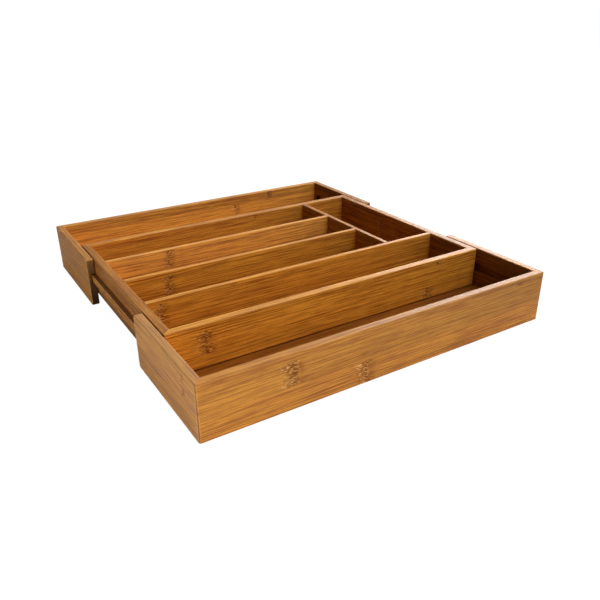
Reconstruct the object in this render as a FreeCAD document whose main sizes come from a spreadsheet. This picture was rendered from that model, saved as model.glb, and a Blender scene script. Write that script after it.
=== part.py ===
import FreeCAD, Part
import os
import Sketcher

# Expandable cutlery tray of bamboo boards, in millimetres.
# The origin is on the ground under the middle of the tray. +X runs across the compartments,
# from the left extension to the right one, +Y from the front end to the rear end, +Z up.
# It is drawn with both extensions pulled out as far as their stops let them go.

# Driving dimensions: name, value, meaning
DIMENSIONS = [
    ("overall_length", 430, "length of the outer walls, front to rear"),
    ("overall_height", 60.5, "height of every wall top above the ground"),
    ("centre_width", 284, "outer width of the centre tray"),
    ("extension_travel", 84, "room between the centre tray and a pulled-out outer wall"),
    ("board_thickness", 9, "thickness of the extensions' boards"),
    ("centre_board_thickness", 9.5, "thickness of the centre tray's four boards"),
    ("divider_thickness", 6, "thickness of the dividers"),
    ("floor_thickness", 4, "thickness of the three floor panels"),
    ("short_bay_width", 61, "clear width of each of the three short compartments"),
    ("cross_bay_width", 67, "clear width of the cross compartment, front to rear"),
    ("side_clearance", 0.8, "gap between the centre's end boards and the extensions' end boards"),
    ("floor_lift", 7.5, "ground to the underside of the extensions' floors"),
    ("under_clearance", 1, "gap between an extension's floor and the centre tray above it"),
    ("centre_floor_recess", 5, "bottom edge of the centre's boards to the underside of its floor"),
    ("floor_groove_depth", 4, "how deep the grooves for the floor panels are cut"),
    ("panel_play", 0.5, "room left for a floor panel to swell at the bottom of its groove"),
    ("housing_depth", 2, "how deep a divider's tongue enters the board it meets"),
    ("housing_stop", 10, "how far below the top edge a divider's housing stops"),
    ("rail_lift", 30.5, "ground to the underside of the rails"),
    ("rail_height", 10, "height of the rails"),
    ("rail_proud", 5, "how far the rails stand out of the centre's end boards"),
    ("rail_seat_depth", 2.5, "how deep the rails are let into the centre's end boards"),
    ("rail_setback", 12, "corner of the centre tray to the end of a rail"),
    ("runner_depth", 5.5, "depth of the runner groove that takes the rail"),
    ("runner_play_below", 0.3, "gap between a rail and the lower side of its runner groove"),
    ("runner_play_above", 1.2, "gap between a rail and the upper side of its runner groove"),
    ("runner_end_gap", 0.5, "rail's end to the round end of its runner groove, with the tray closed"),
    ("closed_gap", 0.5, "gap between an outer wall and the centre tray with the tray closed"),
    ("meeting_gap", 2, "gap between the two extensions' end boards if the walls could touch the centre"),
    ("stop_width", 10, "width of the stop strips"),
    ("stop_height", 4, "height of the stop strips"),
    ("stop_gap", 0.3, "gap between a stop strip and the wall that it catches, fully pulled out"),
    ("stop_end_gap", 3, "gap between the ends of a stop strip and the centre's end boards"),
    ("arris", 1.2, "rounding of the boards' edges"),
    ("corner_round", 2.5, "rounding of the outer corners where two boards are mitred together"),
    ("small_arris", 0.8, "rounding of the edges of dividers, rails and stop strips"),
    ("end_round", 3, "rounding of the corners at the free ends of the extensions' end boards"),
]

# Sizes that follow from the driving dimensions
HALF_LENGTH = "(Dims.overall_length / 2)"
HALF_WIDTH = "(Dims.centre_width / 2 + Dims.extension_travel + Dims.board_thickness)"
BOARD_LENGTH = "(Dims.centre_width / 2 + Dims.board_thickness - Dims.meeting_gap / 2)"
CENTRE_LENGTH = "(Dims.overall_length - 2 * Dims.board_thickness - 2 * Dims.side_clearance)"
CENTRE_LIFT = "(Dims.floor_lift + Dims.floor_thickness + Dims.under_clearance)"
CENTRE_HEIGHT = f"(Dims.overall_height - {CENTRE_LIFT})"
CENTRE_LEFT = "(-Dims.centre_width / 2)"
CENTRE_INNER_LENGTH = f"({CENTRE_LENGTH} - 2 * Dims.centre_board_thickness)"
DIVIDER_FOOT = "(Dims.centre_floor_recess + Dims.floor_thickness)"
DIVIDER_HEIGHT = f"({CENTRE_HEIGHT} - {DIVIDER_FOOT})"
HOUSING_HEIGHT = f"({DIVIDER_HEIGHT} - Dims.housing_stop)"
DIVIDER_PITCH = "(Dims.short_bay_width + Dims.divider_thickness)"
CROSS_FRONT = f"({CENTRE_INNER_LENGTH} / 2 - Dims.cross_bay_width - Dims.divider_thickness)"
FLOOR_REACH = ("(Dims.board_thickness + Dims.extension_travel + Dims.centre_board_thickness"
               " + Dims.stop_gap + Dims.stop_width)")
PANEL_INSET = "(Dims.floor_groove_depth - Dims.panel_play)"
RUNNER_HEIGHT = "(Dims.rail_height + Dims.runner_play_below + Dims.runner_play_above)"

TINY = 0.01

doc = FreeCAD.newDocument("CutleryTray")
sheet = doc.addObject("Spreadsheet::Sheet", "Dims")
for row, (alias, value, meaning) in enumerate(DIMENSIONS, 1):
    sheet.set(f"A{row}", meaning)
    sheet.set(f"B{row}", str(value))
    sheet.setAlias(f"B{row}", alias)
doc.recompute()


def left_of_divider(number):
    """X of the left face of divider 1, 2 or 3, counted from the left."""
    inner_left = f"({CENTRE_LEFT} + Dims.centre_board_thickness)"
    return f"({inner_left} + {number} * {DIVIDER_PITCH} - Dims.divider_thickness)"


def new_body(name, x, y, z, turn):
    """A body whose local X runs along the board, Y from its outer face to its inner face."""
    body = doc.addObject("PartDesign::Body", name)
    body.Label = name
    body.Placement.Rotation = FreeCAD.Rotation(FreeCAD.Vector(0, 0, 1), turn)
    for axis, place in (("x", x), ("y", y), ("z", z)):
        body.setExpression(f"Placement.Base.{axis}", place)
    return body


def ground_sketch(body, name):
    """An empty sketch on the body's own XY plane."""
    sketch = body.newObject("Sketcher::SketchObject", name)
    flat = next(item for item in body.Origin.OriginFeatures if item.Role == "XY_Plane")
    sketch.AttachmentSupport = [(flat, "")]
    sketch.MapMode = "FlatFace"
    return sketch


def add_polygon(sketch, corners):
    """A closed polygon whose corners are pinned to the origin by two distances each."""
    first = sketch.GeometryCount
    count = len(corners)
    for index in range(count):
        start = FreeCAD.Vector(index, index * index, 0)
        end = FreeCAD.Vector(index + 1, (index + 1) * (index + 1), 0)
        sketch.addGeometry(Part.LineSegment(start, end), False)
    for index in range(count):
        following = first + (index + 1) % count
        sketch.addConstraint(Sketcher.Constraint("Coincident", first + index, 2, following, 1))
    for index, corner in enumerate(corners):
        for kind, place in zip(("DistanceX", "DistanceY"), corner):
            number = sketch.addConstraint(Sketcher.Constraint(kind, -1, 1, first + index, 1, 1.0))
            sketch.setExpression(f"Constraints[{number}]", place)


def pad_block(body, length, width, height):
    """A rectangular board from the body's origin."""
    sketch = ground_sketch(body, "outline")
    add_polygon(sketch, [("0", "0"), (length, "0"), (length, width), ("0", width)])
    pad = body.newObject("PartDesign::Pad", "board")
    pad.Profile = sketch
    pad.setExpression("Length", height)
    doc.recompute()
    return pad


def round_edges(body, name, radius, wanted):
    """Rounds the edges of the body's last feature whose boxes pass the test."""
    base = body.Tip
    box = base.Shape.BoundBox
    edges = [f"Edge{number}" for number, edge in enumerate(base.Shape.Edges, 1)
             if wanted(edge.BoundBox, box)]
    fillet = body.newObject("PartDesign::Fillet", name)
    fillet.Base = (base, edges)
    fillet.setExpression("Radius", radius)
    doc.recompute()


def at_top(edge, box):
    return edge.ZMin > box.ZMax - TINY


def at_bottom(edge, box):
    return edge.ZMax < box.ZMin + TINY


def on_outer_face(edge, box):
    return edge.YMax < box.YMin + TINY


def on_inner_face(edge, box):
    return edge.YMin > box.YMax - TINY


def at_far_end(edge, box):
    return edge.XMin > box.XMax - TINY


def along_board(edge, box):
    return edge.XLength > TINY


def cut_box(body, name, x, y, z, length, width, height):
    """Cuts a box out of the body and checks that it took wood away."""
    before = body.Tip.Shape.Volume
    cutter = body.newObject("PartDesign::SubtractiveBox", name)
    for axis, place in (("x", x), ("y", y), ("z", z)):
        cutter.setExpression(f"Placement.Base.{axis}", place)
    cutter.setExpression("Length", length)
    cutter.setExpression("Width", width)
    cutter.setExpression("Height", height)
    doc.recompute()
    if not cutter.Shape.Volume < before:
        raise ValueError(f"{body.Label}: {name} cut nothing")


def cut_mitres(body, length, thickness, both_ends):
    """Cuts 45 degree mitres through the whole height, at the start or at both ends."""
    before = body.Tip.Shape.Volume
    sketch = ground_sketch(body, "mitre_outline")
    add_polygon(sketch, [("0", "0"), (thickness, thickness), ("0", thickness)])
    if both_ends:
        inner_corner = (f"{length} - {thickness}", thickness)
        add_polygon(sketch, [(length, "0"), (length, thickness), inner_corner])
    pocket = body.newObject("PartDesign::Pocket", "mitre")
    pocket.Profile = sketch
    pocket.Type = "ThroughAll"
    pocket.Reversed = True
    doc.recompute()
    if not pocket.Shape.Volume < before:
        raise ValueError(f"{body.Label}: mitre cut nothing")


def make_board(name, place, turn, length, thickness, height, free_end=False):
    """A board with rounded edges, mitred at both ends or with its far end left free."""
    body = new_body(name, *place, turn)
    pad_block(body, length, thickness, height)
    if free_end:
        round_edges(body, "end_corners", "Dims.end_round",
                    lambda edge, box: at_far_end(edge, box) and edge.ZLength < TINY)
    round_edges(body, "outer_corners", "Dims.corner_round",
                lambda edge, box: on_outer_face(edge, box) and edge.ZLength > TINY
                and not along_board(edge, box) and not (free_end and at_far_end(edge, box)))
    round_edges(body, "arrises", "Dims.arris",
                lambda edge, box: at_top(edge, box)
                or (at_bottom(edge, box) and not on_inner_face(edge, box))
                or (on_outer_face(edge, box) and edge.ZLength > TINY
                    and (along_board(edge, box) or at_far_end(edge, box))))
    cut_mitres(body, length, thickness, not free_end)
    return body


def cut_panel_groove(body, length, thickness, bottom, reach=None):
    """The groove that holds a floor panel, in the board's inner face."""
    start = f"{thickness} - Dims.floor_groove_depth"
    run = reach or f"{length} - 2 * ({start})"
    cut_box(body, "floor_groove", start, start, bottom, run, "Dims.floor_groove_depth",
            "Dims.floor_thickness")


def make_plate(name, place, length, width, height):
    """A plain rectangular piece: a floor panel, or a strip whose edges are rounded later."""
    body = new_body(name, *place, 0)
    pad_block(body, length, width, height)
    return body


def mirrored(source, name, normal):
    """The mirror image of a sub-part, as its left-hand or right-hand partner."""
    twin = doc.addObject("Part::Mirroring", name)
    twin.Label = name
    twin.Source = source
    twin.Base = FreeCAD.Vector(0, 0, 0)
    twin.Normal = normal
    return twin


# Centre tray: four mitred boards
def centre_board(name, place, turn, length):
    board = make_board(name, place, turn, length, "Dims.centre_board_thickness", CENTRE_HEIGHT)
    cut_panel_groove(board, length, "Dims.centre_board_thickness", "Dims.centre_floor_recess")
    return board


def cut_rail_seat(board):
    cut_box(board, "rail_seat", "Dims.rail_setback", "0", f"Dims.rail_lift - {CENTRE_LIFT}",
            "Dims.centre_width - 2 * Dims.rail_setback", "Dims.rail_seat_depth", "Dims.rail_height")


def cut_housing(board, name, start, face):
    """The housing for a divider's tongue, in a board whose inner face is at local Y = face."""
    foot = DIVIDER_FOOT if board.Label.startswith("centre") else "0"
    cut_box(board, name, start, f"{face} - Dims.housing_depth", foot,
            "Dims.divider_thickness", "Dims.housing_depth", HOUSING_HEIGHT)


half_centre_length = f"({CENTRE_LENGTH} / 2)"
centre_front = centre_board("centre_front_board", (CENTRE_LEFT, f"-{half_centre_length}", CENTRE_LIFT),
                            0, "Dims.centre_width")
centre_rear = centre_board("centre_rear_board",
                           (f"-{CENTRE_LEFT}", half_centre_length, CENTRE_LIFT),
                           180, "Dims.centre_width")
centre_left = centre_board("centre_left_wall", (CENTRE_LEFT, half_centre_length, CENTRE_LIFT),
                           -90, CENTRE_LENGTH)
centre_right = centre_board("centre_right_wall",
                            (f"-{CENTRE_LEFT}", f"-{half_centre_length}", CENTRE_LIFT),
                            90, CENTRE_LENGTH)
for end_board in (centre_front, centre_rear):
    cut_rail_seat(end_board)
for divider_number in (1, 2, 3):
    cut_housing(centre_front, f"housing_{divider_number}",
                f"{left_of_divider(divider_number)} - {CENTRE_LEFT}", "Dims.centre_board_thickness")
cut_housing(centre_rear, "housing_3",
            f"-{CENTRE_LEFT} - {left_of_divider(3)} - Dims.divider_thickness",
            "Dims.centre_board_thickness")
cut_housing(centre_left, "cross_housing",
            f"{half_centre_length} - {CROSS_FRONT} - Dims.divider_thickness",
            "Dims.centre_board_thickness")


# The centre's floor panel, held in the grooves of its four boards
centre_panel_margin = f"(Dims.centre_board_thickness - {PANEL_INSET})"
centre_floor = make_plate("centre_floor",
                          (f"{CENTRE_LEFT} + {centre_panel_margin}",
                           f"-{half_centre_length} + {centre_panel_margin}",
                           f"{CENTRE_LIFT} + Dims.centre_floor_recess"),
                          f"Dims.centre_width - 2 * {centre_panel_margin}",
                          f"{CENTRE_LENGTH} - 2 * {centre_panel_margin}",
                          "Dims.floor_thickness")


# Dividers, each with a tongue at both ends that stops short of the top edge
def make_divider(name, x, y, turn, clear_length):
    length = f"({clear_length} + 2 * Dims.housing_depth)"
    body = new_body(name, x, y, f"{CENTRE_LIFT} + {DIVIDER_FOOT}", turn)
    pad_block(body, length, "Dims.divider_thickness", DIVIDER_HEIGHT)
    round_edges(body, "arrises", "Dims.small_arris",
                lambda edge, box: at_top(edge, box) and along_board(edge, box))
    for end, start in (("front", "0"), ("rear", f"{length} - Dims.housing_depth")):
        cut_box(body, f"{end}_shoulder", start, "0", HOUSING_HEIGHT,
                "Dims.housing_depth", "Dims.divider_thickness", "Dims.housing_stop")
    return body


front_inner = f"(-{CENTRE_INNER_LENGTH} / 2)"
short_length = f"({CROSS_FRONT} - {front_inner})"
divider_start = f"{front_inner} - Dims.housing_depth"
dividers = []
for divider_number, (divider_name, clear) in enumerate(
        [("left_divider", short_length), ("middle_divider", short_length),
         ("right_divider", CENTRE_INNER_LENGTH)], 1):
    divider_right_face = f"{left_of_divider(divider_number)} + Dims.divider_thickness"
    dividers.append(make_divider(divider_name, divider_right_face, divider_start, 90, clear))
cut_housing(dividers[2], "cross_housing", f"{CROSS_FRONT} - ({divider_start})",
            "Dims.divider_thickness")

cross_left = f"({CENTRE_LEFT} + Dims.centre_board_thickness - Dims.housing_depth)"
cross_clear = f"({left_of_divider(3)} - {CENTRE_LEFT} - Dims.centre_board_thickness)"
cross = make_divider("cross_divider", cross_left, CROSS_FRONT, 0, cross_clear)
for divider_number in (1, 2):
    cut_housing(cross, f"housing_{divider_number}",
                f"{left_of_divider(divider_number)} - {cross_left}", "Dims.housing_depth")


# Rails on the outer faces of the centre's end boards
front_rail = make_plate("front_rail",
                        (f"{CENTRE_LEFT} + Dims.rail_setback",
                         f"-{half_centre_length} - Dims.rail_proud", "Dims.rail_lift"),
                        "Dims.centre_width - 2 * Dims.rail_setback",
                        "Dims.rail_proud + Dims.rail_seat_depth", "Dims.rail_height")
round_edges(front_rail, "arrises", "Dims.small_arris",
            lambda edge, box: on_outer_face(edge, box) and along_board(edge, box))
ACROSS = FreeCAD.Vector(1, 0, 0)
ALONG = FreeCAD.Vector(0, 1, 0)
rear_rail = mirrored(front_rail, "rear_rail", ALONG)


# Left extension: outer wall, end board with runner groove, floor and stop strip
left_wall = make_board("left_outer_wall", (f"-{HALF_WIDTH}", HALF_LENGTH, "0"), -90,
                       "Dims.overall_length", "Dims.board_thickness", "Dims.overall_height")
cut_panel_groove(left_wall, "Dims.overall_length", "Dims.board_thickness", "Dims.floor_lift")

left_end_board = make_board("left_front_board", (f"-{HALF_WIDTH}", f"-{HALF_LENGTH}", "0"), 0,
                            BOARD_LENGTH, "Dims.board_thickness", "Dims.overall_height",
                            free_end=True)
groove_reach = (f"{FLOOR_REACH} + Dims.panel_play"
                " - (Dims.board_thickness - Dims.floor_groove_depth)")
cut_panel_groove(left_end_board, BOARD_LENGTH, "Dims.board_thickness", "Dims.floor_lift",
                 groove_reach)


def cut_runner(board):
    """The groove that slides on the rail: open at the free end, round where the cutter stopped."""
    face = "(Dims.board_thickness - Dims.runner_depth)"
    bottom = "(Dims.rail_lift - Dims.runner_play_below)"
    round_centre = ("(Dims.board_thickness + Dims.closed_gap + Dims.rail_setback"
                    " - Dims.runner_end_gap)")
    cut_box(board, "runner_groove", round_centre, face, bottom,
            f"{BOARD_LENGTH} - {round_centre}", "Dims.runner_depth", RUNNER_HEIGHT)
    before = board.Tip.Shape.Volume
    cutter = board.newObject("PartDesign::SubtractiveCylinder", "runner_end")
    cutter.setExpression("Radius", f"{RUNNER_HEIGHT} / 2")
    cutter.setExpression("Height", "Dims.runner_depth")
    cutter.Placement.Rotation = FreeCAD.Rotation(FreeCAD.Vector(1, 0, 0), -90)
    cutter.setExpression("Placement.Base.x", round_centre)
    cutter.setExpression("Placement.Base.y", face)
    cutter.setExpression("Placement.Base.z", f"{bottom} + {RUNNER_HEIGHT} / 2")
    doc.recompute()
    if not cutter.Shape.Volume < before:
        raise ValueError(f"{board.Label}: runner end cut nothing")


cut_runner(left_end_board)

extension_panel_margin = f"(Dims.board_thickness - {PANEL_INSET})"
left_floor = make_plate("left_floor",
                        (f"-{HALF_WIDTH} + {extension_panel_margin}",
                         f"-{HALF_LENGTH} + {extension_panel_margin}", "Dims.floor_lift"),
                        f"{FLOOR_REACH} - {extension_panel_margin}",
                        f"Dims.overall_length - 2 * {extension_panel_margin}",
                        "Dims.floor_thickness")

stop_half_length = f"({CENTRE_INNER_LENGTH} / 2 - Dims.stop_end_gap)"
left_stop = make_plate("left_stop_strip",
                       (f"-{HALF_WIDTH} + {FLOOR_REACH} - Dims.stop_width",
                        f"-{stop_half_length}", "Dims.floor_lift + Dims.floor_thickness"),
                       "Dims.stop_width", f"2 * {stop_half_length}", "Dims.stop_height")
round_edges(left_stop, "arrises", "Dims.small_arris",
            lambda edge, box: at_top(edge, box) and edge.YLength > edge.XLength)

left_rear = mirrored(left_end_board, "left_rear_board", ALONG)

# Right extension: the mirror image of the left one
left_extension = [left_wall, left_end_board, left_rear, left_floor, left_stop]
right_extension = [mirrored(piece, piece.Label.replace("left_", "right_"), ACROSS)
                   for piece in left_extension]

subparts = [centre_front, centre_rear, centre_left, centre_right, centre_floor, *dividers, cross,
            front_rail, rear_rail, *left_extension, *right_extension]
doc.recompute()

for item in doc.Objects:
    if "Invalid" in item.State or "Error" in item.State:
        raise ValueError(f"{item.Name} failed: {item.State}")
for piece in subparts:
    if piece.Shape.isNull() or not piece.Shape.isValid() or len(piece.Shape.Solids) != 1:
        raise ValueError(f"{piece.Label} is not one valid solid")

os.makedirs("parts", exist_ok=True)
for piece in subparts:
    piece.Shape.exportStep(f"parts/{piece.Label}.step")
    extent = piece.Shape.BoundBox
    print(f"{piece.Label}: X {extent.XMin:.1f} to {extent.XMax:.1f}, Y {extent.YMin:.1f} to "
          f"{extent.YMax:.1f}, Z {extent.ZMin:.1f} to {extent.ZMax:.1f}")
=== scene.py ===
import math
import random

import bpy
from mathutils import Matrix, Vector


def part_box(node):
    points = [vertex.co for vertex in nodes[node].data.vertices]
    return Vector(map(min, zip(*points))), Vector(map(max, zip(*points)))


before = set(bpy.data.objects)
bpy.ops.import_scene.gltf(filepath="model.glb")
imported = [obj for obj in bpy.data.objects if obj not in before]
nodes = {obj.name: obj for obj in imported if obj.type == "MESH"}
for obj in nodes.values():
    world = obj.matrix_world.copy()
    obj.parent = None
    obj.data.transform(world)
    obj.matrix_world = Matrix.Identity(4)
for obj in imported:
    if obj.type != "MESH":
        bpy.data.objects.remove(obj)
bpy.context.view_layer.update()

MM = 0.001


# Colours are written as on a screen, 0 to 255, and turned into light values here.
def colour(red, green, blue):
    def light(value):
        share = value / 255
        return share / 12.92 if share <= 0.04045 else ((share + 0.055) / 1.055) ** 2.4
    return (light(red), light(green), light(blue), 1.0)


# Small helpers that add shader nodes to one tree.
class Graph:
    def __init__(self, tree):
        self.tree = tree

    def feed(self, socket, value):
        if isinstance(value, bpy.types.NodeSocket):
            self.tree.links.new(value, socket)
        else:
            socket.default_value = value

    def node(self, kind, inputs=None, **settings):
        node = self.tree.nodes.new(kind)
        for name, value in settings.items():
            setattr(node, name, value)
        for key, value in (inputs or {}).items():
            self.feed(node.inputs[key], value)
        return node.outputs

    def math(self, operation, *values):
        return self.node("ShaderNodeMath", dict(enumerate(values)), operation=operation)[0]

    def plus(self, first, second):
        return self.math("ADD", first, second)

    def minus(self, first, second):
        return self.math("SUBTRACT", first, second)

    def times(self, product, *others):
        for other in others:
            product = self.math("MULTIPLY", product, other)
        return product

    def larger(self, first, second):
        return self.math("MAXIMUM", first, second)

    def apart(self, first, second):
        return self.math("ABSOLUTE", self.minus(first, second))

    # a noise from 0 to 1 turned into a swing to both sides of 0
    def swing(self, noise, reach):
        return self.times(self.minus(noise, 0.5), reach)

    # from start to end between the two limits, and level outside them
    def ramp(self, value, low, high, start=0.0, end=1.0, kind="SMOOTHSTEP"):
        inputs = {"Value": value, "From Min": low, "From Max": high, "To Min": start, "To Max": end}
        return self.node("ShaderNodeMapRange", inputs, interpolation_type=kind)[0]

    # one value where a light path's flag is 0, the other where it is 1
    def choose(self, flag, off, on):
        return self.ramp(flag, 0.0, 1.0, off, on, kind="LINEAR")

    def vector(self, x, y, z):
        return self.node("ShaderNodeCombineXYZ", {"X": x, "Y": y, "Z": z})[0]

    def vectors(self, operation, *values):
        return self.node("ShaderNodeVectorMath", dict(enumerate(values)), operation=operation)[0]

    def split(self, vector):
        return self.node("ShaderNodeSeparateXYZ", {0: vector})

    def noise(self, vector, detail=2.0, roughness=0.5):
        inputs = {"Vector": vector, "Scale": 1.0, "Detail": detail, "Roughness": roughness}
        return self.node("ShaderNodeTexNoise", inputs)[0]

    # noise with so many cells in a metre along the first axis, and so many across it
    def streaks(self, place, cells, detail=2.0, roughness=0.5):
        along, across = cells
        return self.noise(self.vectors("MULTIPLY", place, (along, across, across)), detail, roughness)

    # the same noise all through a board's thickness
    def face_noise(self, along, across, cells, layer):
        return self.noise(self.vector(self.times(along, cells[0]), self.times(across, cells[1]), layer))

    def mix(self, share, first, second):
        return self.node("ShaderNodeMix", {0: share, 6: first, 7: second}, data_type="RGBA")[2]

    def brightened(self, shade, factor):
        return self.node("ShaderNodeVectorMath", {0: shade, "Scale": factor}, operation="SCALE")[0]

    def group(self, tree, inputs):
        return self.node("ShaderNodeGroup", inputs, node_tree=tree)


# A shader group that takes numbers, or vectors if so asked, and makes numbers.
def new_group(name, inputs, outputs, kind="NodeSocketFloat"):
    tree = bpy.data.node_groups.new(name, "ShaderNodeTree")
    for label in inputs:
        tree.interface.new_socket(label, in_out="INPUT", socket_type=kind)
    for label in outputs:
        tree.interface.new_socket(label, in_out="OUTPUT", socket_type="NodeSocketFloat")
    given = tree.nodes.new("NodeGroupInput").outputs
    made = tree.nodes.new("NodeGroupOutput").inputs
    return Graph(tree), given, made


# The boards are glued up from strips of this height. Sizes in this script are in metres.
STRIP = 26 * MM
# the distances from a joint between which its dark line fades, and how dark and deep the line is
GLUE_LINE = (0.1 * MM, 0.5 * MM)
GLUE_DARKNESS = 0.16
GLUE_DEPTH = 0.5
# layers of noise in the grain: cells in a metre along the fibres and across them
BROAD = (5, 150)
BUNDLE = (12, 850)
FIBRE = (36, 1500)
SILK = (40, 80)
FINE = (150, 1300)
SPECK = (260, 900)
# the tone is deep at 0 and pale at 1: its middle, the shares of the layers and how the strips differ
MIDDLE_TONE = 0.52
BROAD_SHARE = 0.35
BUNDLE_SHARE = 1.4
FIBRE_SHARE = 1.75
SILK_SHARE = 0.35
STRIP_CHANCE = 0.30
# the shares of two layers in the relief of the surface
FIBRE_RELIEF = 0.6
FINE_RELIEF = 0.4
# the levels of the fine noise between which a fleck appears
FLECK_LEVELS = (0.58, 0.72)
# the fibres bend round a bamboo node and run in long waves: cells in a metre, and how far they bend
SWIRL_CELLS = (130, 90)
SWIRL = 6 * MM
WAVE_CELLS = (9, 30)
WAVE = 3 * MM
# arbitrary numbers that make the strips of a board differ
CHANCE_SLICE = 3.7
STRIPS_APART = 40.0


# The grain of glued bamboo strips. Along is the distance down the grain, Across is up the board from
# one of its strip joints and Through is the distance through its thickness.
def make_grain_group():
    g, given, made = new_group(
        "bamboo_grain",
        ("Along", "Across", "Through", "Seed", "Halo"),
        ("Tone", "Fleck", "Speck", "Height"),
    )
    cell = g.math("DIVIDE", given["Across"], STRIP)
    strip_number = g.vector(g.math("FLOOR", cell), given["Seed"], CHANCE_SLICE)
    chance = g.node("ShaderNodeTexWhiteNoise", {"Vector": strip_number})["Value"]
    along = g.plus(given["Along"], g.times(chance, STRIPS_APART))
    # the fibres swirl a little round a bamboo node
    swirl = g.face_noise(along, given["Across"], SWIRL_CELLS, 0.0)
    across = g.plus(given["Across"], g.swing(swirl, g.times(given["Halo"], SWIRL)))
    # long slow waves keep the fibres from being ruled lines
    wave = g.face_noise(along, across, WAVE_CELLS, 0.5)
    across = g.plus(across, g.swing(wave, WAVE))
    place = g.vector(along, across, given["Through"])
    broad = g.streaks(place, BROAD, detail=1.0)
    bundle = g.streaks(place, BUNDLE, detail=0.0)
    fibre = g.streaks(place, FIBRE, detail=1.0, roughness=0.6)
    silk = g.streaks(place, SILK)
    fine = g.streaks(place, FINE, detail=1.0)
    speck = g.streaks(place, SPECK, roughness=0.6)
    layers = ((broad, BROAD_SHARE), (bundle, BUNDLE_SHARE), (fibre, FIBRE_SHARE), (silk, SILK_SHARE))
    tone = g.swing(chance, STRIP_CHANCE)
    for layer, share in layers:
        tone = g.plus(tone, g.swing(layer, share))
    tone = g.plus(tone, MIDDLE_TONE)
    # a fine dark line, and a slight groove, where two strips are glued together
    in_strip = g.math("FRACT", cell)
    from_joint = g.times(g.minus(0.5, g.apart(in_strip, 0.5)), STRIP)
    glue = g.ramp(from_joint, *GLUE_LINE, 1.0, 0.0)
    height = g.plus(g.times(fibre, FIBRE_RELIEF), g.times(fine, FINE_RELIEF))
    g.feed(made["Tone"], g.minus(tone, g.times(glue, GLUE_DARKNESS)))
    g.feed(made["Fleck"], g.ramp(fine, *FLECK_LEVELS))
    g.feed(made["Speck"], speck)
    g.feed(made["Height"], g.minus(height, g.times(glue, GLUE_DEPTH)))
    return g.tree


# The parts of a bamboo node: how far each is shifted along the grain, and where it begins and ends to
# fade, all as shares of the node's reach.
MARK_PARTS = {
    "Ridge": (0.0, 0.03, 0.12),
    "Halo": (0.0, 0.1, 1.0),
    "Dark": (-0.08, 0.2, 0.8),
    "Pale": (0.25, 0.15, 0.8),
}
# how far the ridge wanders, with how many cells in a metre, and how the node fades at a strip's joints
RAGGED = 12 * MM
RAGGED_CELLS = 120
MARK_BORDER = (-0.4 * MM, 0.8 * MM)


# One bamboo node crosses one strip of a board: a ragged dark ridge, brown dashes round it and pale ones
# mostly to one side.
def make_mark_group():
    g, given, made = new_group(
        "bamboo_node",
        ("Along", "Across", "At", "Low", "High", "Reach", "Strength"),
        MARK_PARTS,
    )
    up_ridge = g.vector(given["At"], g.times(given["Across"], RAGGED_CELLS), 0.0)
    ragged = g.noise(up_ridge, detail=3.0, roughness=0.7)
    centre = g.plus(given["At"], g.swing(ragged, RAGGED))
    off = g.math("DIVIDE", g.minus(given["Along"], centre), given["Reach"])
    above = g.ramp(g.minus(given["Across"], given["Low"]), *MARK_BORDER)
    below = g.ramp(g.minus(given["High"], given["Across"]), *MARK_BORDER)
    inside = g.times(above, below, given["Strength"])
    for label, (shift, inner, outer) in MARK_PARTS.items():
        away = g.math("ABSOLUTE", g.plus(off, shift))
        g.feed(made[label], g.times(g.ramp(away, inner, outer, 1.0, 0.0), inside))
    return g.tree


# How far a point of a board is from the nearest edge between two of its faces: the middle one of its
# distances to the faces across X, across Y and across Z.
def make_edge_group():
    g, given, made = new_group("board_edge", ("Place", "Centre", "Half"), ("Edge",), "NodeSocketVector")
    off = g.vectors("ABSOLUTE", g.vectors("SUBTRACT", given["Place"], given["Centre"]))
    x, y, z = g.split(g.vectors("SUBTRACT", given["Half"], off))
    low = g.math("MINIMUM", x, y)
    high = g.math("MAXIMUM", x, y)
    g.feed(made["Edge"], g.larger(low, g.math("MINIMUM", high, z)))
    return g.tree


grain_group = make_grain_group()
mark_group = make_mark_group()
edge_group = make_edge_group()

# Bamboo nodes that the photograph shows on each board: the place along the grain, the two joints of the
# strip that it crosses and its reach, in millimetres, and its strength from 0 to 1.
SEEN_MARKS = {
    "right_outer_wall": [(-120, 26, 52, 17, 1), (-38, 0, 26, 17, 1), (173, 52, 58, 10, 0.8)],
    "centre_right_wall": [(-163, 27, 53, 16, 1), (126, 10, 27, 16, 0.9), (140, 53, 60, 9, 0.8)],
    "right_divider": [(-180, 30, 56, 12, 1), (-96, 56, 60, 7, 0.7)],
    "middle_divider": [(-145, 30, 56, 12, 1)],
    "left_divider": [(-118, 36, 60, 12, 0.9), (30, 10, 36, 10, 0.5)],
    "centre_left_wall": [(41, 52, 60, 8, 0.8)],
    "left_outer_wall": [(117, 48, 60, 9, 0.8), (57, 22, 48, 11, 0.7)],
    "centre_front_board": [(51, 40, 60, 9, 0.8)],
    "right_front_board": [(207, 34, 56, 7, 0.7)],
    "left_front_board": [],
    "right_floor": [(-60, 180, 206, 10, 0.8), (90, 206, 232, 9, 0.8)],
}
# The height of one of a board's strip joints, for boards that have none at the ground.
FIRST_JOINT = {
    "centre_right_wall": 1 * MM,
    "right_divider": 4 * MM,
    "middle_divider": 4 * MM,
    "left_divider": 10 * MM,
    "left_outer_wall": -4 * MM,
    "centre_front_board": -12 * MM,
}
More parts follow.
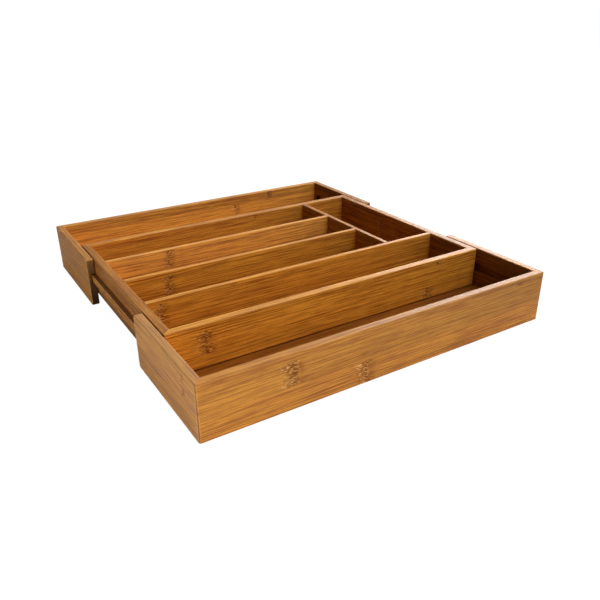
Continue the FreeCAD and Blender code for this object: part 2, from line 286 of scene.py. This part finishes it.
# How much paler a board is painted than the usual one. Below 0 it is darker. Part of it is the board's
# own tone and part is painted light and shade.
TONE_AND_PAINTED_LIGHT = {
    "right_outer_wall": -0.15,
    # paler: partly the boards' own tone, partly painted light inside the bays
    "left_outer_wall": 0.42,
    "centre_left_wall": 0.27,
    "left_divider": 0.74,
    "middle_divider": 0.2,
    "right_divider": 0.19,
    "centre_right_wall": 0.39,
    # darker: partly painted shade on the boards and rail of the front end
    "left_front_board": -0.28,
    "centre_front_board": -0.35,
    "front_rail": -0.35,
    # darker: painted shade on the inner faces of the rear boards, the rear rail and the cross divider
    "centre_rear_board": -0.3,
    "right_rear_board": -0.45,
    "left_rear_board": -0.4,
    "rear_rail": -0.3,
    "cross_divider": -0.15,
}
# How far a board has faded, from 0 to 1.
FADE = {
    "right_outer_wall": 0.04,
    "right_front_board": 0.2,
    "left_front_board": 0.06,
    "left_divider": 0.12,
    "left_outer_wall": 0.08,
    "centre_left_wall": 0.02,
}
# The two joints of a strip in millimetres, and how much paler it is at the board's first and last end.
# Some strips carry painted shade.
STRIP_TONES_AND_SHADE = {
    "right_outer_wall": [(0, 26, 0.23, 0.10), (26, 52, 0.06, -0.26), (52, 61, 0.15, -0.24)],
    "centre_right_wall": [(27, 53, 0.18, 0.0), (53, 61, 0.14, -0.08)],
    "right_divider": [(30, 56, 0.12, -0.04), (56, 61, 0.12, 0.08)],
    "middle_divider": [(30, 56, 0.08, 0.05), (56, 61, 0.24, 0.1)],
    "left_divider": [(36, 61, 0.14, 0.06)],
    "centre_left_wall": [(26, 52, -0.04, -0.05), (52, 61, 0.24, -0.12)],
    "left_outer_wall": [(22, 48, 0.26, 0.32), (48, 61, -0.04, 0.02)],
    # painted shade: the centre front board is darker below the rail, and the rail's top is darker beside
    # the board above it
    "centre_front_board": [(14, 36, -0.36, -0.36)],
    "front_rail": [(40, 41, -0.45, -0.45)],
    "right_front_board": [(0, 26, -0.06, -0.06), (26, 52, 0.06, 0.06), (52, 61, -0.08, -0.08)],
}

# The deep and the pale shade of the fibres, in the boards and in the darker floor panels.
BOARD_SHADES = (colour(140, 72, 0), colour(214, 146, 42))
PANEL_SHADES = (colour(94, 46, 0), colour(162, 94, 8))
BROWN_DASH = colour(104, 52, 2)
PALE_DASH = colour(232, 186, 118)
# the pale colour of rubbed edges, also used for the painted sheen on the tops
RUBBED_EDGE_AND_SHEEN = colour(222, 166, 100)
END_GRAIN = colour(34, 15, 0)
SEAM = colour(84, 50, 18)
FADED = colour(195, 174, 144)
# a board painted paler gains more green than red, and most blue
TONE_AND_LIGHT_BY_CHANNEL = (1.0, 1.12, 1.5)


# A shade changed by the board's tone and its painted light and shade, and mixed with the faded colour.
def board_shade(shade, tone_and_light, fade):
    channels = []
    for level, gain, faded in zip(shade, TONE_AND_LIGHT_BY_CHANNEL, FADED):
        channels.append(level * (1 + gain * tone_and_light) * (1 - fade) + faded * fade)
    return (*channels, 1.0)


# All the bamboo nodes of one board, with one value for each of their parts.
def join_marks(g, marks, down_grain, up_board):
    joined = dict.fromkeys(MARK_PARTS, 0.0)
    for at, low, high, reach, strength in marks:
        mark = g.group(mark_group, {
            "Along": down_grain,
            "Across": up_board,
            "At": at * MM,
            "Low": low * MM,
            "High": high * MM,
            "Reach": reach * MM,
            "Strength": strength,
        })
        for label in joined:
            joined[label] = g.larger(mark[label], joined[label])
    return joined


# pale dashes lie where the speck noise is low and brown ones where it is high
PALE_LEVELS = (0.36, 0.46)
BROWN_LEVELS = (0.46, 0.58)
# how strongly each of these shows, and the most that a bamboo node browns the board
FLECK_SHARE = 0.4
PALE_SHARE = 0.65
BROWN_SHARE = 0.66
HALO_SHARE = 0.10
RIDGE_SHARES = (0.15, 0.6)
MOST_BROWN = 0.85


# Deep flecks in the grain, and the pale and brown dashes of the bamboo nodes.
def add_dashes(g, body, grain, mark, deep):
    body = g.mix(g.times(grain["Fleck"], FLECK_SHARE), body, deep)
    pale_dashes = g.ramp(grain["Speck"], *PALE_LEVELS, 1.0, 0.0)
    body = g.mix(g.times(pale_dashes, mark["Pale"], PALE_SHARE), body, PALE_DASH)
    dashes = g.ramp(grain["Speck"], *BROWN_LEVELS)
    brown = g.plus(g.times(dashes, mark["Dark"], BROWN_SHARE), g.times(mark["Halo"], HALO_SHARE))
    ridge = g.times(mark["Ridge"], g.ramp(dashes, 0.0, 1.0, *RIDGE_SHARES))
    return g.mix(g.math("MINIMUM", g.plus(brown, ridge), MOST_BROWN), body, BROWN_DASH)


# half the width over which two strips' tones meet
JOINT_BLUR = 0.2 * MM


# The strips of one board differ in tone, and each may change from one end to the other. Some of these
# tones are painted shade.
def tone_and_shade_strips(g, body, strips, down_grain, ends, up_board):
    for low, high, first_change, last_change in strips:
        above = g.ramp(up_board, low * MM - JOINT_BLUR, low * MM + JOINT_BLUR)
        below = g.ramp(up_board, high * MM - JOINT_BLUR, high * MM + JOINT_BLUR, 1.0, 0.0)
        change = g.ramp(down_grain, *ends, first_change, last_change, kind="LINEAR")
        body = g.brightened(body, g.plus(g.times(change, above, below), 1.0))
    return body


# Where a face turns to the top or bottom of its board, or to its end, by that part of its normal.
TURN_TO_TOP = (0.6, 0.95)
TURN_TO_END = (0.75, 0.95)
# distances from an edge, from the top and from a seam between which its line fades, and its strength; at
# the top it is a painted sheen
EDGE_LINE = (0.4 * MM, 2.2 * MM)
TOP_SHEEN_LINE = (1 * MM, 3 * MM)
SEAM_LINE = (0.2 * MM, 0.6 * MM)
EDGE_SHARE = 0.3
TOP_SHEEN_SHARE = 0.12
SEAM_SHARE = 0.75
# the least and the most wear of an edge, and the levels of its noise between which it grows
WEAR = (0.25, 0.8)
WEAR_LEVELS = (0.3, 0.6)
WEAR_CELLS = (60, 60)
# how dark a cut end is at the board's bottom and at its top: end grain is dark, and its darker bottom is
# painted shade
END_GRAIN_AND_SHADE = (0.97, 0.6)
FACE_ROUGHNESS = 0.62
TOP_ROUGHNESS = 0.36
GRAIN_ROUGHNESS = 0.18
HALO_ROUGHNESS = 0.12
END_ROUGHNESS = 0.24
WORN_SMOOTHNESS = 0.06
SPECULAR = 0.35
RIDGE_HEIGHT = 0.8
BUMP_STRENGTH = 0.35
BUMP_DEPTH = 0.2 * MM
# an arbitrary number that makes each board's grain differ
BOARDS_APART = 0.37


# A board's material. Its grain runs along one axis (0 for X, 1 for Y) and its strips are stacked up
# another. Seams are the places along the grain where it is mitred to the next board.
def finish_board(name, along, across, seed, marks, seams):
    low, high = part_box(name)
    tone_and_light = TONE_AND_PAINTED_LIGHT.get(name, 0.0)
    shades = PANEL_SHADES if name.endswith("floor") else BOARD_SHADES
    deep, pale = [board_shade(shade, tone_and_light, FADE.get(name, 0.0)) for shade in shades]
    material = bpy.data.materials.new("bamboo_" + name)
    material.use_nodes = True
    shader = material.node_tree.nodes["Principled BSDF"].inputs
    g = Graph(material.node_tree)
    point = g.node("ShaderNodeTexCoord")
    place = point["Object"]
    axes = g.split(place)
    down_grain = axes[along]
    up_board = axes[across]
    through = axes[3 - along - across]
    facing = g.split(point["Normal"])
    to_end = g.math("ABSOLUTE", facing[along])
    to_top = g.math("ABSOLUTE", facing[across])

    mark = join_marks(g, marks, down_grain, up_board)
    grain = g.group(grain_group, {
        "Along": down_grain,
        "Across": g.minus(up_board, FIRST_JOINT.get(name, 0.0)),
        "Through": g.plus(through, seed * BOARDS_APART),
        "Seed": seed,
        "Halo": mark["Halo"],
    })
    body = g.mix(grain["Tone"], deep, pale)
    body = add_dashes(g, body, grain, mark, deep)
    ends = (low[along], high[along])
    body = tone_and_shade_strips(g, body, STRIP_TONES_AND_SHADE.get(name, []), down_grain, ends, up_board)
    # the tops take only half of a board's tone and painted light and shade, which are set for its faces
    body = g.brightened(body, g.ramp(to_top, *TURN_TO_TOP, 1.0, (1 + tone_and_light / 2) / (1 + tone_and_light)))

    # edges and tops are rubbed paler, seams are dark lines
    edge = g.group(edge_group, {"Place": place, "Centre": (low + high) / 2, "Half": (high - low) / 2})
    rubbed = g.streaks(place, WEAR_CELLS, detail=3.0)
    wear = g.times(g.ramp(edge["Edge"], *EDGE_LINE, 1.0, 0.0), g.ramp(rubbed, *WEAR_LEVELS, *WEAR))
    top_sheen_band = g.ramp(g.minus(high[across], up_board), *TOP_SHEEN_LINE, TOP_SHEEN_SHARE, 0.0)
    # edges are rubbed paler, the tops get a pale painted sheen, and seams are dark lines
    painted_top_sheen = g.times(g.ramp(to_top, *TURN_TO_TOP), top_sheen_band)
    body = g.mix(g.larger(painted_top_sheen, g.times(wear, EDGE_SHARE)), body, RUBBED_EDGE_AND_SHEEN)
    for seam in seams:
        body = g.mix(g.ramp(g.apart(down_grain, seam), *SEAM_LINE, SEAM_SHARE, 0.0), body, SEAM)
    # cut ends are dark end grain, darker towards the bottom with painted shade, but a divider's are
    # hidden in its housings
    cut_end_shade = (0.0, 0.0) if name.endswith("divider") else END_GRAIN_AND_SHADE
    cut = g.ramp(to_end, *TURN_TO_END, 0.0, g.ramp(up_board, low[across], high[across], *cut_end_shade))
    g.feed(shader["Base Color"], g.mix(cut, body, END_GRAIN))

    rough = g.ramp(to_top, *TURN_TO_TOP, FACE_ROUGHNESS, TOP_ROUGHNESS)
    rough = g.plus(g.times(grain["Height"], GRAIN_ROUGHNESS), rough)
    rough = g.plus(rough, g.plus(g.times(mark["Halo"], HALO_ROUGHNESS), g.times(cut, END_ROUGHNESS)))
    g.feed(shader["Roughness"], g.minus(rough, g.times(wear, WORN_SMOOTHNESS)))
    shader["Specular IOR Level"].default_value = SPECULAR
    height = g.plus(grain["Height"], g.times(mark["Ridge"], RIDGE_HEIGHT))
    bump = g.node("ShaderNodeBump", {"Height": height, "Strength": BUMP_STRENGTH, "Distance": BUMP_DEPTH})
    g.feed(shader["Normal"], bump["Normal"])
    for slot in nodes[name].material_slots:
        slot.material = material


# A bamboo node that the photograph doesn't show: its distance from the board's first end, its reach and
# its strength. None lies nearer the last end than LAST_PLACE.
CHANCE_PLACE = (20 * MM, 240 * MM)
CHANCE_REACH = (8 * MM, 12 * MM)
LAST_PLACE = 10 * MM
BOARD_STRENGTH = 1
PANEL_STRENGTH = 0.6


# A board that isn't in SEEN_MARKS gets a bamboo node at a seeded place in each of its strips.
def chance_marks(name, along, across, seed):
    low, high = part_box(name)
    chance = random.Random(seed)
    strength = PANEL_STRENGTH if name.endswith("floor") else BOARD_STRENGTH
    joint = FIRST_JOINT.get(name, 0.0)
    joint += STRIP * math.floor((low[across] - joint) / STRIP)
    found = []
    while joint < high[across]:
        at = low[along] + chance.uniform(*CHANCE_PLACE)
        if at < high[along] - LAST_PLACE:
            reach = chance.uniform(*CHANCE_REACH)
            found.append((at / MM, joint / MM, (joint + STRIP) / MM, reach / MM, strength))
        joint += STRIP
    return found


for seed, name in enumerate(sorted(nodes), start=1):
    low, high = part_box(name)
    size = high - low
    along = 0 if size.x > size.y else 1
    across = 2
    # the strips of the floor panels lie side by side
    if name.endswith("floor"):
        along = 1
        across = 0
    if name in SEEN_MARKS:
        marks = SEEN_MARKS[name]
    else:
        marks = chance_marks(name, along, across, seed)
    # the walls and the centre's end boards are mitred at both ends, the extensions' end boards at one
    seams = []
    if name.endswith("wall") or name in ("centre_front_board", "centre_rear_board"):
        seams = [low[along], high[along]]
    elif name.endswith("board"):
        seams = [high[along] if name.startswith("right") else low[along]]
    finish_board(name, along, across, seed, marks, seams)


WHITE = (1, 1, 1, 1)
FLOOR_SIZE = 60
# the floor lies a hair under the tray, so that their faces don't coincide
FLOOR_GAP = 0.3 * MM
FLOOR_GREY = (0.90, 0.90, 0.90, 1)
# the floor's own glow, and how much of it the camera and the tray's mirror image see
FLOOR_GLOW = 1.06
FLOOR_SEEN = 0.93
FLOOR_MIRRORED = 0.1


# The floor is plain and pale. To the camera it is nearly white, and it still takes the tray's shadow.
def make_floor():
    bpy.ops.mesh.primitive_plane_add(size=FLOOR_SIZE, location=(0, 0, -FLOOR_GAP))
    floor = bpy.context.object
    floor.name = "studio_floor"
    material = bpy.data.materials.new("studio_floor")
    material.use_nodes = True
    tree = material.node_tree
    tree.nodes.remove(tree.nodes["Principled BSDF"])
    g = Graph(tree)
    matt = g.node("ShaderNodeBsdfDiffuse", {"Color": FLOOR_GREY})[0]
    glow = g.node("ShaderNodeEmission", {"Color": WHITE, "Strength": FLOOR_GLOW})[0]
    rays = g.node("ShaderNodeLightPath")
    seen = g.times(g.larger(rays["Is Camera Ray"], rays["Is Transmission Ray"]), FLOOR_SEEN)
    share = g.larger(seen, g.times(rays["Is Glossy Ray"], FLOOR_MIRRORED))
    surface = g.node("ShaderNodeMixShader", {0: share, 1: matt, 2: glow})[0]
    g.feed(tree.nodes["Material Output"].inputs["Surface"], surface)
    floor.data.materials.append(material)


# the studio's light in front of the tray and behind it, and where one turns into the other, by the
# direction's part along Y
LIGHT_IN_FRONT = 0.08
LIGHT_BEHIND = 0.55
LIGHT_TURN = (-0.8, 0.8)
# in the tray's mirror image the studio is white behind it and this bright elsewhere
MIRRORED_ELSEWHERE = 0.1
MIRRORED_TURN = (0.15, 0.65)


# The studio is darker in front of the tray, towards -Y, than behind it. To the camera it is white, and
# what the tray mirrors is white behind it and darker elsewhere.
def make_world():
    world = bpy.data.worlds.new("studio")
    bpy.context.scene.world = world
    world.use_nodes = True
    g = Graph(world.node_tree)
    rays = g.node("ShaderNodeLightPath")
    way = g.split(g.node("ShaderNodeTexCoord")["Generated"])["Y"]
    light = g.ramp(way, *LIGHT_TURN, LIGHT_IN_FRONT, LIGHT_BEHIND)
    mirrored = g.ramp(way, *MIRRORED_TURN, MIRRORED_ELSEWHERE, 1.0)
    light = g.choose(rays["Is Glossy Ray"], light, mirrored)
    light = g.choose(g.larger(rays["Is Camera Ray"], rays["Is Transmission Ray"]), light, 1.0)
    background = world.node_tree.nodes["Background"].inputs
    background["Color"].default_value = WHITE
    g.feed(background["Strength"], light)


# A soft lamp is a rectangle, width by height, that faces the point it is aimed at.
def soft_lamp(name, place, size, watts, aim=(0, 0, 0), mirrored=True):
    data = bpy.data.lights.new(name, "AREA")
    data.shape = "RECTANGLE"
    data.size, data.size_y = size
    data.energy = watts
    lamp = bpy.data.objects.new(name, data)
    bpy.context.scene.collection.objects.link(lamp)
    lamp.location = place
    lamp.rotation_euler = (Vector(aim) - Vector(place)).to_track_quat("-Z", "Y").to_euler()
    lamp.visible_camera = False
    lamp.visible_glossy = mirrored


# The camera stands where the photograph was taken from: metres, degrees and millimetres of lens.
CAMERA_PLACE = (0.64733, -0.37157, 0.34403)
CAMERA_TURN = (64.359, 0.321, 57.769)
LENS = 37.969
SENSOR_WIDTH = 36


def make_camera():
    data = bpy.data.cameras.new("photo_camera")
    data.sensor_width = SENSOR_WIDTH
    data.lens = LENS
    camera = bpy.data.objects.new("photo_camera", data)
    bpy.context.scene.collection.objects.link(camera)
    camera.location = CAMERA_PLACE
    camera.rotation_euler = [math.radians(turn) for turn in CAMERA_TURN]
    bpy.context.scene.camera = camera


make_floor()
make_world()
# the strongest lamp isn't mirrored, or the tops of the boards would glare white
soft_lamp("key_behind", (-0.3, 4.1, 1.6), (2.0, 2.0), watts=235, mirrored=False)
soft_lamp("rim_behind_left", (-1.3, 2.05, 0.95), (1.2, 0.9), watts=28)
soft_lamp("side_lamp", (1.8, 0.0, 0.9), (1.2, 1.2), watts=1.5)
soft_lamp("high_side_lamp", (1.1, 0.42, 1.7), (0.7, 0.7), watts=10.5)
soft_lamp("left_lamp", (-1.8, 0.0, 1.3), (1.2, 1.2), watts=1.5)
# two low cards light the front end and the near side
soft_lamp("low_front_card", (0.7, -1.3, 0.035), (1.6, 0.06), watts=7, aim=(0.1, -0.2, 0.035))
soft_lamp("low_right_card", (0.75, -0.8, 0.035), (1.0, 0.06), watts=2.1, aim=(0.235, -0.2, 0.035))
make_camera()
bpy.context.scene.view_settings.view_transform = "Standard"
